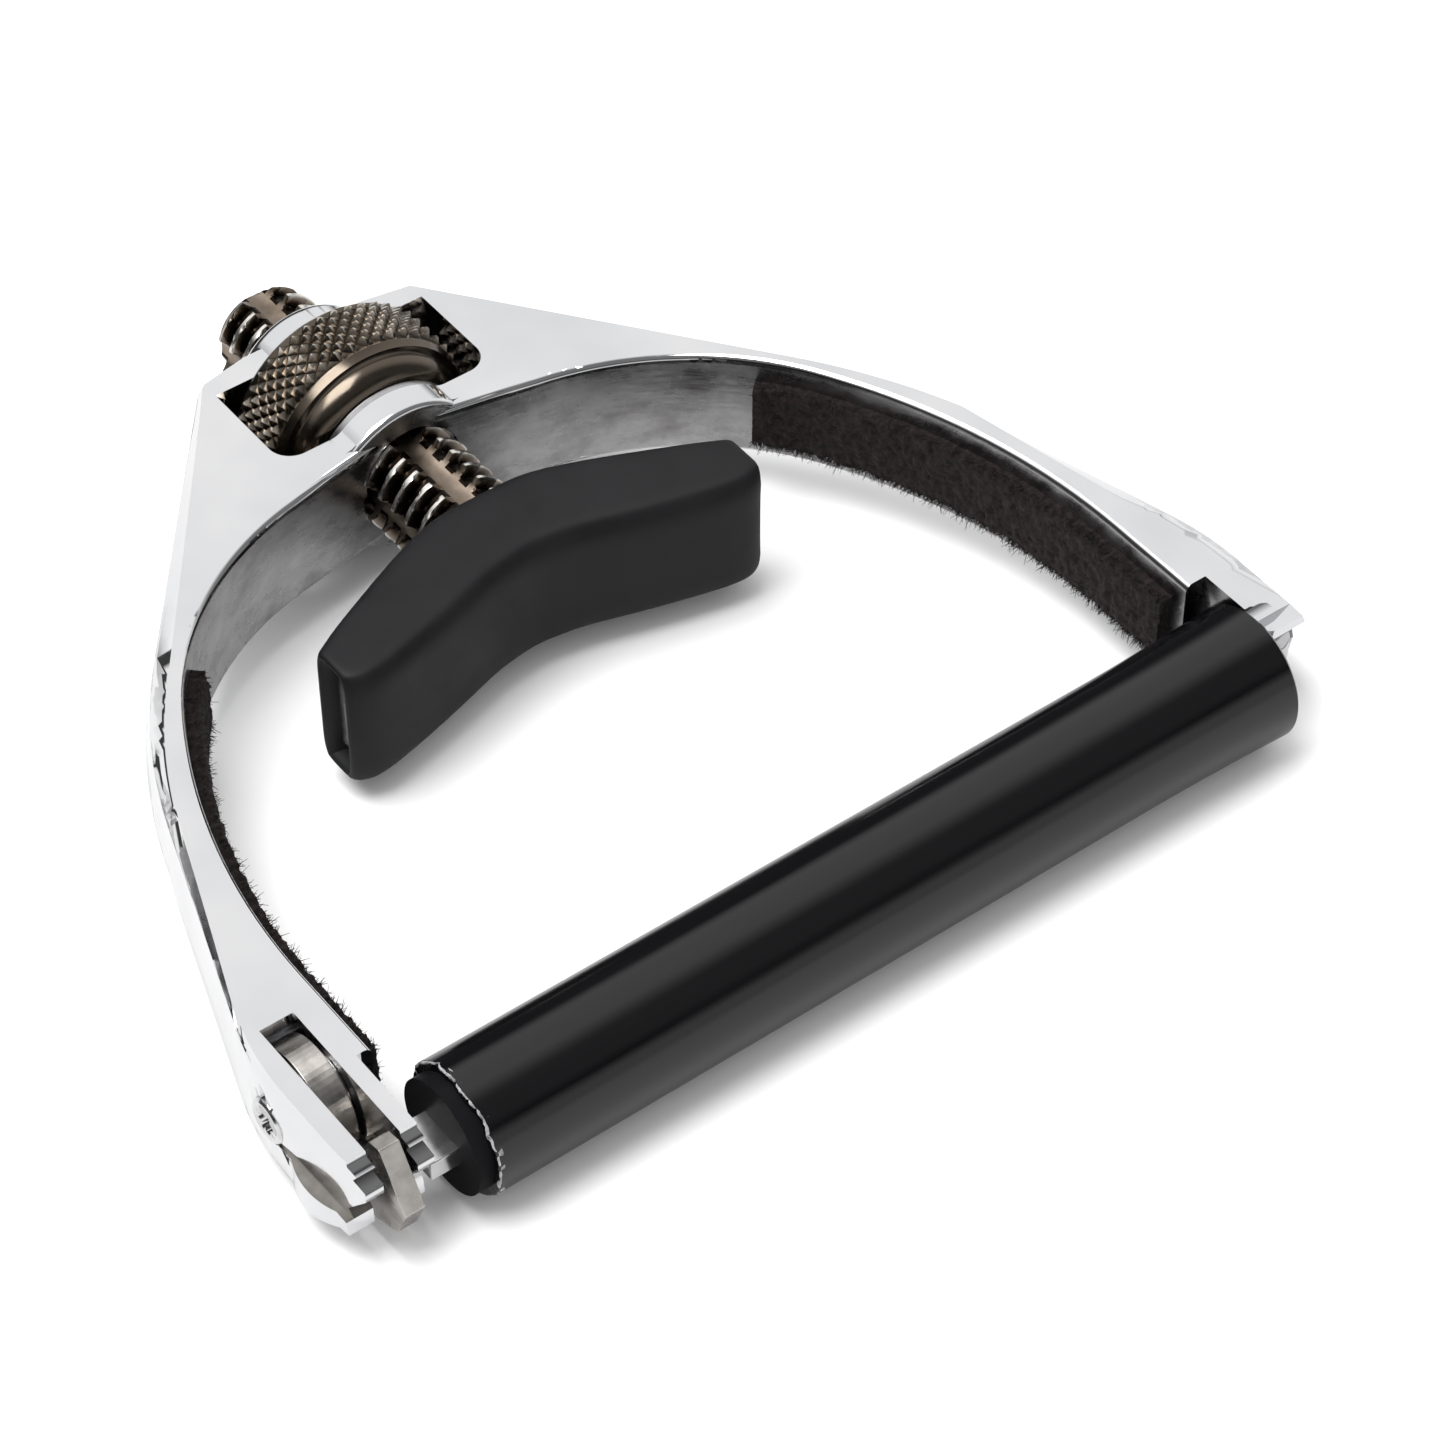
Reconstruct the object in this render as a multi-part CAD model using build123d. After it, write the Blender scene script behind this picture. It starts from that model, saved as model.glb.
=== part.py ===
from build123d import *
import os
from math import acos, atan2, cos, hypot, pi, radians, sin, sqrt, tan

# Yoke capo for a guitar neck.  Millimetres.
# X runs along the string bar, Y from the bar to the thumbwheel, Z through the frame's thickness.
# The origin is the middle of the string bar's axis.

# ---------------------------------------------------------------- driving dimensions
# Yoke frame
FRAME_T = 9.0            # thickness of the frame
INNER_HALF = 33.2        # bar's middle to the inner face of an arm, at the bar
FORK_W = 6.8             # width of an arm at its foot
STRAIGHT_Y = 13.0        # where the inner face starts to bend
SIDE_R = 48.0            # inner face, lower arc
SIDE_TURN = 30.0         # degrees that the lower arc turns
CROWN_R = 24.0           # inner face, upper arc
CROWN_TURN = 80.0        # degrees turned in all where the crown's straight begins
WAIST_Y = 28.5           # where an arm is narrowest
WAIST_T = 1.9            # width of its top face there
FOOT_R = 23.0            # outer face, arc at the foot
FOOT_Y = 5.2             # where that arc ends in the straight foot
SHOULDER_R = 48.0        # outer face, arc at the shoulder
SEAM_TURN = 42.2         # degrees: brazed seam between head and arm
SIDE_BULGE = 1.2         # outer side beyond the top face's edge, at mid thickness
SHOULDER_Z = 3.3         # height of the outer side's upper edge
SHOULDER_OUT = 0.8       # outer side beyond the top face's edge, at that height
LEFT_FOOT_IN = 0.5       # left foot's top face inside its outer side
RIGHT_FOOT_IN = 4.2      # right foot's top face inside its outer side
INNER_ROUND = 0.6
FOOT_END = -4.0          # raw end of the arms before the end profile is cut

# Window, bosses and wheel
WHEEL_R = 8.6
WHEEL_W = 7.6
WINDOW_GAP = 0.2         # wheel's rim to the window's end wall
WASHER_T = 0.5
AXIAL_PLAY = 0.05        # each side of the wheel
CROWN_WALL = 2.0         # arch crown to the window
WINDOW_CORNER_R = 1.8
CORNER_WALL = 1.15       # window's far corner to the outer face
FAR_WALL = 1.5
BOSS_R = 6.2
BOSS_PROUD = 0.3         # near boss beyond the arch crown
NOSE_R = 5.7
BOSS_BLEND = 1.6         # fillet between the near boss and the faces
NOSE_PROUD = 1.2         # far boss beyond the apex wall
APEX_HALF = 5.0
APEX_RISE = 0.7
SHOULDER_W = 1.5         # smooth shoulder of the wheel, beside the knurl
SHOULDER_STEP = 1.3      # shoulder's radius below the knurl's
WASHER_IN = 0.8          # washer's rim to the window's rounded corners

# Adjusting screw
SCREW_R = 4.2
RUN_CLEAR = 0.05         # radial clearance of every running fit
FLUTE_R = 1.7
FLUTE_C = 4.7            # flute cutter's centre from the screw's axis
TAIL_PROUD = 7.0         # screw's tail beyond the apex wall
TAIL_ROUND = 2.2
SPIGOT_R = 2.3
KEY_W = 1.6
KEY_IN = 3.45            # key's inner face from the screw's axis
KEY_OUT = 5.4
KEY_L = 2.0

# Saddle and its boot
SADDLE_GAP = 8.5         # arch crown to the boot's back
BOOT_HALF = 17.4
BOOT_H = 10.4
BOOT_MID = 7.4           # boot's depth at the middle
BOOT_FRONT_DROP = 3.7    # front tips ahead of the valley
BOOT_TIP_X = 15.0
BOOT_END_D = 4.6         # boot's depth at its ends
BOOT_ROUND = 1.5
PLATE_T = 2.4
PLATE_H = 6.8
PLATE_END = 1.2          # plate's end inside the boot's open end
SADDLE_BOSS_R = 5.4
SADDLE_BOSS_L = 2.6
SADDLE_HEAD_R = 3.1
SADDLE_HEAD_T = 1.0
BACK_WALL = 0.7          # boot's rubber behind the saddle's boss

# String bar
BAR_W = 3.8              # flat core, along Y
BAR_T = 1.6              # flat core, along Z
BAR_END_CLEAR = 0.3      # tongue's end to the fork
TUBE_R = 4.1
TUBE_PROUD = 0.9         # inner tube beyond the sleeve's left end
SLEEVE_R = 4.75
SLEEVE_FLARE = 0.3       # more radius at the hinge end
FLARE_L = 12.0
TONGUE_L = 2.1           # bare tongue at the left
SLEEVE_GAP = 0.2         # sleeve's right end to the hinge knuckle

# Left foot: slotted fork and latch
NOTCH_D = 1.1            # inner face steps back at the foot
NOTCH_Y = 5.4
SLOT_IN = 2.3            # inner face to the slot
SLOT_Y = 10.6
PIVOT_Y = 7.4
PIVOT_Z = 0.2
SLOT_R = 4.7             # round back of the slot, about the pivot
LEVER_R = 4.1
HOOK_T = 1.5             # hook, beside the inner prong
LEVER_T = 2.0
LEVER_SIDE = 0.25         # lever's side to the slot's wall, filled by a shim
SHIM_R = 3.0
SHIM_T = 0.2
LATCH_PIN_R = 1.1
LATCH_HEAD_R = 1.65
LATCH_HEAD_T = 0.8
LATCH_BITE = 1.2         # thread beyond the slot, in the inner wall
LEDGE_Z = -0.8           # top of the rounded ledge beside a foot
LEDGE_MID_Y = 2.2
LEDGE_R = 6.0
LEDGE_OUT = 0.5          # ledge beyond the arm's outer side
PRONG_TAPER = 0.7        # prong's side is cut back this much at its end
TAPER_Y = 9.0

# Right foot: hinge knuckle
KNUCKLE_R = 2.0
HINGE_Y = 1.5
HINGE_PIN_R = 0.8
HINGE_PIN_TOP = 2.6
LUG_R = 1.95
LUG_CLEAR = 0.15         # above and below the lug
LUG_BACK = 0.4           # behind the lug
RIGHT_TEETH_BACK = 2.5   # right foot ends this much short of the left

# Suede liners
LINER_T = 1.1
LINER_W = 5.6
LINER_Y = 6.6

TORX_R = 0.85
TORX_LOBE = 0.22
TORX_DEEP = 0.5

# End profile of a foot, in Y and Z: two teeth above, a lip below.
TOOTH_TOP = (-1.1, 4.5)
TEETH = [(-1.2, 4.05), (-2.1, 3.95), (-1.7, 3.3), (-2.9, 3.1), (-2.9, 2.3)]
LIP = [(-0.9, -0.2), (-1.4, LEDGE_Z), (-1.5, -2.0), (1.4, -2.8), (9.0, -4.5)]

# ---------------------------------------------------------------- derived places
HALF_T = FRAME_T / 2
OUTER_HALF = INNER_HALF + FORK_W
SHOULDER_OUT_SHARE = 1 - SHOULDER_OUT / SIDE_BULGE
BIG = 60.0
CENTRE_1 = (INNER_HALF - SIDE_R, STRAIGHT_Y)
A1 = radians(SIDE_TURN)
A2 = radians(CROWN_TURN)
CENTRE_2 = (CENTRE_1[0] + (SIDE_R - CROWN_R) * cos(A1), CENTRE_1[1] + (SIDE_R - CROWN_R) * sin(A1))
CROWN_END = (CENTRE_2[0] + CROWN_R * cos(A2), CENTRE_2[1] + CROWN_R * sin(A2))
CROWN_Y = CROWN_END[1] + CROWN_END[0] / tan(A2)
WINDOW_HALF = WHEEL_R + WINDOW_GAP
WINDOW_Y0 = CROWN_Y + CROWN_WALL
WINDOW_Y1 = WINDOW_Y0 + WHEEL_W + 2 * WASHER_T + 2 * AXIAL_PLAY
WHEEL_Y0 = WINDOW_Y0 + WASHER_T + AXIAL_PLAY
WHEEL_Y1 = WHEEL_Y0 + WHEEL_W
APEX_Y = WINDOW_Y1 + FAR_WALL
BORE_R = SCREW_R + RUN_CLEAR
SHOULDER_R_WHEEL = WHEEL_R - SHOULDER_STEP
WASHER_R = WINDOW_HALF - WINDOW_CORNER_R - WASHER_IN
TAIL_Y = APEX_Y + APEX_RISE + TAIL_PROUD
BOOT_BACK = CROWN_Y - SADDLE_GAP
BOOT_VALLEY = BOOT_BACK - BOOT_MID
SADDLE_BACK = BOOT_BACK - BACK_WALL
PLATE_BACK = SADDLE_BACK - SADDLE_BOSS_L
SLOT_X1 = -(INNER_HALF + SLOT_IN)
SLOT_X0 = SLOT_X1 - LEVER_T - 2 * LEVER_SIDE
SLOT_MID = (SLOT_X0 + SLOT_X1) / 2
TONGUE_X = -(INNER_HALF + NOTCH_D - BAR_END_CLEAR)
HINGE_X = INNER_HALF + NOTCH_D + 0.6 + KNUCKLE_R
SLEEVE_X1 = HINGE_X - KNUCKLE_R - SLEEVE_GAP
TUBE_X0 = TONGUE_X + TONGUE_L
SLEEVE_X0 = TUBE_X0 + TUBE_PROUD


# ---------------------------------------------------------------- helpers
def save(shape, node):
    """One node, one STEP file."""
    shape.label = node
    export_step(shape, f"parts/{node}.step")
    return shape


def block(x0, x1, y0, y1, z0, z1):
    """A box from its two corners."""
    size = Box(abs(x1 - x0), abs(y1 - y0), abs(z1 - z0))
    return Pos((x0 + x1) / 2, (y0 + y1) / 2, (z0 + z1) / 2) * size


def rod_y(radius, y0, y1, x=0.0, z=0.0):
    """A cylinder along Y."""
    return Pos(x, (y0 + y1) / 2, z) * Rot(90, 0, 0) * Cylinder(radius, y1 - y0)


def rod_x(radius, x0, x1, y=0.0, z=0.0):
    """A cylinder along X."""
    return Pos((x0 + x1) / 2, y, z) * Rot(0, 90, 0) * Cylinder(radius, x1 - x0)


def rod_z(radius, z0, z1, x=0.0, y=0.0):
    """A cylinder along Z."""
    return Pos(x, y, (z0 + z1) / 2) * Cylinder(radius, z1 - z0)


def slab(edges, thickness):
    """A closed plan outline, extruded both ways from the middle plane."""
    face = make_face(Curve() + edges)
    return extrude(face, thickness / 2, both=True)


def side_slab(points, x0, x1):
    """A polygon in Y and Z, extruded along X."""
    face = make_face(Polyline([(x0, y, z) for y, z in points], close=True))
    return extrude(face, x1 - x0, dir=(1, 0, 0))


def arc_about(centre, radius, start, end):
    """An arc from one angle to another, in radians."""
    mid = (start + end) / 2
    spots = [(centre[0] + radius * cos(a), centre[1] + radius * sin(a)) for a in (start, mid, end)]
    return ThreePointArc(*spots)


def on_circle(centre, radius, angle):
    return (centre[0] + radius * cos(angle), centre[1] + radius * sin(angle))


def tangent_angle(point, centre, radius):
    """Angle on a circle where the line to an outside point, beyond it, is tangent."""
    away = hypot(point[0] - centre[0], point[1] - centre[1])
    return atan2(point[1] - centre[1], point[0] - centre[0]) - acos(radius / away)


def mirrored(shape):
    return mirror(shape, Plane.YZ)


# ---------------------------------------------------------------- yoke outlines
def inner_edges(inset, y_low, last_turn):
    """Right half of the inner face, moved inwards by an inset, from the foot to a turn."""
    last = radians(last_turn)
    start = (INNER_HALF - inset, y_low)
    bend = (INNER_HALF - inset, STRAIGHT_Y)
    edges = [Line(start, bend)]
    edges.append(arc_about(CENTRE_1, SIDE_R - inset, 0, A1))
    edges.append(arc_about(CENTRE_2, CROWN_R - inset, A1, last))
    return edges


def inner_void():
    """Everything inside the arch, open at the foot."""
    right = inner_edges(0, FOOT_END - 2, CROWN_TURN)
    crown = (0, CROWN_Y)
    right.append(Line(CROWN_END, crown))
    right.append(Line(crown, (0, FOOT_END - 2)))
    right.append(Line((0, FOOT_END - 2), (INNER_HALF, FOOT_END - 2)))
    half = slab(right, FRAME_T)
    return half + mirrored(half)


def pulled_in(point, foot_in):
    """A point of the outline moved in, fully at the foot and not at all at the waist."""
    share = (WAIST_Y - max(point[1], FOOT_Y)) / (WAIST_Y - FOOT_Y)
    return (point[0] - foot_in * max(share, 0) ** 0.8, point[1])


def outer_face(foot_in, grow, height):
    """Right half of the frame's outer outline at a height, as a face."""
    foot_centre = (OUTER_HALF - FOOT_R, FOOT_Y)
    reach = sqrt(SIDE_R ** 2 - (WAIST_Y - STRAIGHT_Y) ** 2)
    waist = (CENTRE_1[0] + reach + WAIST_T + grow, WAIST_Y)
    foot_turn = tangent_angle(waist, foot_centre, FOOT_R)
    foot_points = [on_circle(foot_centre, FOOT_R, foot_turn * share) for share in (0, 0.5, 1)]
    foot_points = [pulled_in(point, foot_in) for point in foot_points]
    foot_low = (foot_points[0][0], FOOT_END)
    shoulder_centre = on_circle(waist, -SHOULDER_R, foot_turn)
    corner = (WINDOW_HALF + CORNER_WALL + grow, WINDOW_Y1)
    shoulder_turn = tangent_angle(corner, shoulder_centre, SHOULDER_R)
    shoulder_top = on_circle(shoulder_centre, SHOULDER_R, shoulder_turn)
    apex_y = APEX_Y + grow * 0.5
    apex_side = (corner[0] - (apex_y - WINDOW_Y1) * tan(shoulder_turn), apex_y)
    apex_flat = (min(APEX_HALF, apex_side[0] - 1), apex_y + APEX_RISE)
    edges = [
        Line((0, FOOT_END), foot_low),
        Line(foot_low, foot_points[0]),
        ThreePointArc(*foot_points),
        Line(foot_points[2], waist),
        arc_about(shoulder_centre, SHOULDER_R, foot_turn, shoulder_turn),
        Line(shoulder_top, apex_side),
        Line(apex_side, apex_flat),
        Line(apex_flat, (0, apex_y + APEX_RISE)),
        Line((0, apex_y + APEX_RISE), (0, FOOT_END)),
    ]
    return Pos(0, 0, height) * make_face(Curve() + edges)


def outer_half(foot_in):
    """Right half of the frame as a plate with a sloped, shouldered outer side."""
    middle = outer_face(0, SIDE_BULGE, 0)
    step = outer_face(foot_in * SHOULDER_OUT_SHARE, SHOULDER_OUT, SHOULDER_Z)
    top = outer_face(foot_in, 0, HALF_T)
    upper = loft([middle, step], ruled=True) + loft([step, top], ruled=True)
    return upper + mirror(upper, Plane.XY)


def outer_plate():
    """The frame's outer outline as a solid plate. The right foot slopes away from the hinge."""
    return outer_half(RIGHT_FOOT_IN) + mirrored(outer_half(LEFT_FOOT_IN))


def rim_edges(shape):
    """Edges that lie in the top or the bottom face."""
    return [e for e in shape.edges() if abs(abs(e.center().Z) - HALF_T) < 1e-3]


def raw_frame():
    """The frame before windows, bores and feet are cut, with the arch's edges rounded."""
    ring = outer_plate() - inner_void()
    inside = []
    for edge in rim_edges(ring):
        spot = edge.center()
        near_side = abs(spot.X) < INNER_HALF + 0.1
        on_void = hypot(abs(spot.X) - CENTRE_1[0], spot.Y - CENTRE_1[1]) < SIDE_R + 0.2
        if near_side and on_void and spot.Y > FOOT_END + 0.1:
            inside.append(edge)
    return fillet(inside, INNER_ROUND)


def seam_side(sign):
    """The space that one arm takes, beyond its seam."""
    turn = radians(SEAM_TURN)
    points = [
        CENTRE_2,
        on_circle(CENTRE_2, BIG, turn),
        (CENTRE_2[0] + 2 * BIG, FOOT_END - 5),
        (CENTRE_2[0], FOOT_END - 5),
    ]
    face = make_face(Polyline(points, close=True))
    space = extrude(face, FRAME_T, both=True)
    return space if sign > 0 else mirrored(space)


# ---------------------------------------------------------------- yoke pieces
def make_head(frame):
    head = frame - seam_side(1) - seam_side(-1)
    near = rod_y(BOSS_R, CROWN_Y - BOSS_PROUD, WINDOW_Y0 + 1)
    near = fillet(near.edges().sort_by(Axis.Y)[0], 0.5)
    far = rod_y(NOSE_R, WINDOW_Y1 - 1, APEX_Y + APEX_RISE + NOSE_PROUD)
    far = fillet(far.edges().sort_by(Axis.Y)[-1], 0.8)
    window = block(-WINDOW_HALF, WINDOW_HALF, WINDOW_Y0, WINDOW_Y1, -BIG, BIG)
    window = fillet(window.edges().filter_by(Axis.Z).group_by(Axis.Y)[0], WINDOW_CORNER_R)
    head = head + near + far + boss_blends() - window
    head = head - rod_y(BORE_R, CROWN_Y - BOSS_PROUD - 1, TAIL_Y)
    for side in (-1, 1):
        head = head - key_block(side)
    return head


def boss_blends():
    """Concave fillets between the near boss and the frame's two faces."""
    reach = sqrt((BOSS_R + BOSS_BLEND) ** 2 - (HALF_T + BOSS_BLEND) ** 2)
    touch = BOSS_R / (BOSS_R + BOSS_BLEND)
    y0 = CROWN_Y - BOSS_PROUD + 0.5
    blends = None
    for sx in (-1, 1):
        for sz in (-1, 1):
            corner = [(0, 0), (sx * reach, 0), (sx * reach, sz * HALF_T)]
            corner.append((sx * reach * touch, sz * (HALF_T + BOSS_BLEND) * touch))
            face = Plane.XZ.offset(-y0) * make_face(Polyline(corner, close=True))
            web = extrude(face, WINDOW_Y0 - y0, dir=(0, 1, 0))
            scoop = rod_y(BOSS_BLEND, y0 - 1, WINDOW_Y0 + 1, sx * reach, sz * (HALF_T + BOSS_BLEND))
            web = web - scoop
            blends = web if blends is None else blends + web
    return blends


def key_block(side):
    """A guide key, seated in the near boss and standing in the screw's side flute."""
    y1 = WINDOW_Y0
    return block(side * KEY_IN, side * KEY_OUT, y1 - KEY_L, y1, -KEY_W / 2, KEY_W / 2)


def end_cut(shift, x0, x1):
    """What is cut away beyond a foot's end profile."""
    points = [(TOOTH_TOP[0], HALF_T + 1), TOOTH_TOP] + TEETH + LIP
    points = points + [(LIP[-1][0], -HALF_T - 1)]
    points = [(y + shift, z) for y, z in points]
    points = points + [(-20, -HALF_T - 1), (-20, HALF_T + 1)]
    return side_slab(points, x0, x1)


def ledge(sign, shift):
    """Rounded ledge beside a foot, wider than the arm."""
    cx = sign * (OUTER_HALF + LEDGE_OUT - LEDGE_R)
    disc = rod_z(LEDGE_R, -HALF_T, LEDGE_Z, cx, LEDGE_MID_Y + shift)
    return disc & block(sign * (OUTER_HALF - 2.5), sign * (OUTER_HALF + 2), -20, BIG, -BIG, BIG)


def side_taper(sign, shift):
    """What is cut off a foot's side above the ledge."""
    end_y = TOOTH_TOP[0] + shift - 2
    plan = [
        (sign * (OUTER_HALF + 3), TAPER_Y + shift),
        (sign * OUTER_HALF, TAPER_Y + shift),
        (sign * (OUTER_HALF - PRONG_TAPER), end_y),
        (sign * (OUTER_HALF + 3), end_y),
    ]
    face = Pos(0, 0, LEDGE_Z) * make_face(Polyline(plan, close=True))
    return extrude(face, HALF_T - LEDGE_Z + 1)


def make_arm_left(frame):
    arm = frame & seam_side(-1)
    wall = -OUTER_HALF
    arm = arm - side_taper(-1, 0) + ledge(-1, 0)
    arm = arm - end_cut(0, wall - 2, -INNER_HALF + 2)
    arm = arm - block(SLOT_X0, SLOT_X1, -20, SLOT_Y, -BIG, BIG)
    arm = arm - rod_x(SLOT_R, SLOT_X0, SLOT_X1, PIVOT_Y, PIVOT_Z)
    arm = arm - block(-INNER_HALF - NOTCH_D, -INNER_HALF + 2, -20, NOTCH_Y, -BIG, BIG)
    arm = arm - rod_x(LATCH_HEAD_R, wall - 2, wall + LATCH_HEAD_T, PIVOT_Y, PIVOT_Z)
    arm = arm - rod_x(LATCH_PIN_R, wall - 1, SLOT_X1 + LATCH_BITE, PIVOT_Y, PIVOT_Z)
    return arm


def make_arm_right(frame):
    arm = frame & seam_side(1)
    wall = OUTER_HALF
    face_x = HINGE_X - KNUCKLE_R
    arm = arm + ledge(1, RIGHT_TEETH_BACK)
    arm = arm - end_cut(RIGHT_TEETH_BACK, INNER_HALF - 2, wall + 2)
    arm = arm - block(INNER_HALF - 2, face_x, -20, NOTCH_Y, -BIG, BIG)
    square = block(face_x - 1, HINGE_X, -20, HINGE_Y, -BIG, BIG)
    arm = arm - (square - rod_z(KNUCKLE_R, -BIG, BIG, HINGE_X, HINGE_Y))
    gap = BAR_T / 2 + LUG_CLEAR
    arm = arm - block(INNER_HALF - 2, HINGE_X + LUG_R + LUG_BACK, -20, HINGE_Y + LUG_R + LUG_BACK, -gap, gap)
    arm = arm - rod_z(HINGE_PIN_R, -HALF_T - 1, HINGE_PIN_TOP, HINGE_X, HINGE_Y)
    return arm


# ---------------------------------------------------------------- liners
def make_liner():
    """Suede strip on the inner face of the right arm."""
    turn = radians(SEAM_TURN)
    out_end = on_circle(CENTRE_2, CROWN_R, turn)
    in_end = on_circle(CENTRE_2, CROWN_R - LINER_T, turn)
    edges = inner_edges(0, LINER_Y, SEAM_TURN) + inner_edges(LINER_T, LINER_Y, SEAM_TURN)
    edges.append(Line(out_end, in_end))
    edges.append(Line((INNER_HALF, LINER_Y), (INNER_HALF - LINER_T, LINER_Y)))
    return slab(edges, LINER_W)


# ---------------------------------------------------------------- wheel and screw
def make_wheel():
    """Thumbwheel with a stepped, rounded shoulder on the saddle's side."""
    step = WHEEL_Y0 + SHOULDER_W
    profile = [
        (BORE_R, WHEEL_Y0),
        (SHOULDER_R_WHEEL - 0.6, WHEEL_Y0),
        (SHOULDER_R_WHEEL, WHEEL_Y0 + 0.6),
        (SHOULDER_R_WHEEL, step),
        (WHEEL_R - 0.4, step),
        (WHEEL_R, step + 0.4),
        (WHEEL_R, WHEEL_Y1 - 0.4),
        (WHEEL_R - 0.4, WHEEL_Y1),
        (BORE_R, WHEEL_Y1),
    ]
    face = make_face(Polyline(profile, close=True))
    return revolve(face, Axis.Y, 360)


def make_washer(y0):
    return rod_y(WASHER_R, y0, y0 + WASHER_T) - rod_y(BORE_R, y0 - 1, y0 + WASHER_T + 1)


def make_screw():
    """Adjusting screw at its crest diameter, with four lengthwise flutes and a spigot."""
    body = rod_y(SCREW_R, SADDLE_BACK, TAIL_Y)
    body = fillet(body.edges().sort_by(Axis.Y)[-1], TAIL_ROUND)
    for quarter in range(4):
        angle = quarter * pi / 2
        cutter = rod_y(FLUTE_R, SADDLE_BACK - 1, TAIL_Y + 1, FLUTE_C * cos(angle), FLUTE_C * sin(angle))
        body = body - cutter
    spigot = rod_y(SPIGOT_R, PLATE_BACK - PLATE_T, SADDLE_BACK)
    hole = rod_y(SPIGOT_R / 2, PLATE_BACK - PLATE_T, SADDLE_BACK + 3)
    return body + spigot - hole


def make_saddle_screw():
    """Short screw that holds the saddle on the spigot, its head in the boot's pocket."""
    front = PLATE_BACK - PLATE_T
    head = rod_y(SADDLE_HEAD_R, front - SADDLE_HEAD_T, front)
    shank = rod_y(SPIGOT_R / 2, front, SADDLE_BACK + 3)
    socket = extrude(Plane.XZ.offset(SADDLE_HEAD_T - front) * RegularPolygon(1.2, 6), -0.6)
    return head + shank - socket


# ---------------------------------------------------------------- saddle and boot
def boot_outline(inset, x_end):
    """V outline of the boot, in plan, symmetric about Y, moved inwards by an inset."""
    tip_y = BOOT_VALLEY - BOOT_FRONT_DROP
    end_back = tip_y + BOOT_END_D
    return [
        (0, BOOT_VALLEY + inset),
        (BOOT_TIP_X, tip_y + inset),
        (x_end, tip_y + inset + 1.3),
        (x_end, end_back - inset),
        (SCREW_R + 1.6, BOOT_BACK - 0.9 - inset),
        (SCREW_R - 1.2, BOOT_BACK - inset),
        (0, BOOT_BACK - inset),
    ]


def v_solid(points, height):
    """A right half outline and its mirror image, extruded to a height."""
    face = make_face(Polyline(points, close=True))
    half = extrude(face, height / 2, both=True)
    return half + mirrored(half)


def plate_points(x_end):
    """The saddle plate's right half, in plan."""
    slope = BOOT_FRONT_DROP / BOOT_TIP_X
    front = PLATE_BACK - PLATE_T
    return [
        (0, front),
        (x_end, front - slope * x_end),
        (x_end, PLATE_BACK - slope * x_end),
        (0, PLATE_BACK),
    ]


def make_saddle():
    plate = v_solid(plate_points(BOOT_HALF - PLATE_END), PLATE_H)
    boss = rod_y(SADDLE_BOSS_R, PLATE_BACK - 1, SADDLE_BACK)
    boss = boss & block(-BIG, BIG, -BIG, BIG, -PLATE_H / 2 - 1, PLATE_H / 2 + 1)
    bore = rod_y(SPIGOT_R, PLATE_BACK - PLATE_T - 2, SADDLE_BACK + 1)
    seat = rod_y(SADDLE_HEAD_R, PLATE_BACK - PLATE_T - SADDLE_HEAD_T, PLATE_BACK - PLATE_T)
    return plate + boss - bore - seat


def make_boot(saddle):
    outer = v_solid(boot_outline(0, BOOT_HALF), BOOT_H)
    outer = fillet(rim_of(outer), BOOT_ROUND)
    pocket = v_solid(plate_points(BOOT_HALF - PLATE_END), PLATE_H)
    open_end = v_solid(plate_points(BOOT_HALF + 2), PLATE_H) & block(-BIG, -BOOT_HALF + PLATE_END + 1, 0, BIG, -BIG, BIG)
    boot = outer - pocket - open_end - saddle
    boot = boot - rod_y(SADDLE_HEAD_R, PLATE_BACK - PLATE_T - SADDLE_HEAD_T, PLATE_BACK)
    boot = boot - rod_y(SPIGOT_R, PLATE_BACK - PLATE_T, SADDLE_BACK)
    boot = boot - rod_y(SCREW_R, SADDLE_BACK, BOOT_BACK + 1)
    return boot


def rim_of(shape):
    """Edges in the top and bottom faces of a plate."""
    top = shape.bounding_box().max.Z
    return [e for e in shape.edges() if abs(abs(e.center().Z) - top) < 1e-3]


# ---------------------------------------------------------------- string bar
def make_bar_core():
    """Flat steel core: tongue at the left, hinge lug at the right."""
    strip = block(TONGUE_X, HINGE_X - LUG_R, -BAR_W / 2, BAR_W / 2, -BAR_T / 2, BAR_T / 2)
    lug_points = [
        (HINGE_X - 2 * LUG_R, -BAR_W / 2),
        (HINGE_X - LUG_R * 0.2, HINGE_Y - LUG_R * 0.98),
        (HINGE_X, HINGE_Y),
        (HINGE_X, HINGE_Y + LUG_R),
        (HINGE_X - 2 * LUG_R, BAR_W / 2),
    ]
    lug = extrude(make_face(Polyline(lug_points, close=True)), BAR_T / 2, both=True)
    eye = rod_z(LUG_R, -BAR_T / 2, BAR_T / 2, HINGE_X, HINGE_Y)
    hole = rod_z(HINGE_PIN_R + RUN_CLEAR, -BAR_T, BAR_T, HINGE_X, HINGE_Y)
    return strip + lug + eye - hole


def make_tube(core):
    """Inner rubber tube, moulded round the flat core."""
    tube = rod_x(TUBE_R, TUBE_X0, SLEEVE_X1 - 0.4)
    return tube - core


def make_sleeve():
    """Glossy outer sleeve, stretched wider at the hinge end."""
    wide = SLEEVE_R + SLEEVE_FLARE
    profile = [
        (SLEEVE_X0, TUBE_R),
        (SLEEVE_X0, SLEEVE_R),
        (SLEEVE_X1 - FLARE_L, SLEEVE_R),
        (SLEEVE_X1 - 0.5, wide),
        (SLEEVE_X1, wide - 0.5),
        (SLEEVE_X1, TUBE_R),
    ]
    face = make_face(Polyline(profile, close=True))
    return revolve(face, Axis.X, 360)


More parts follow.
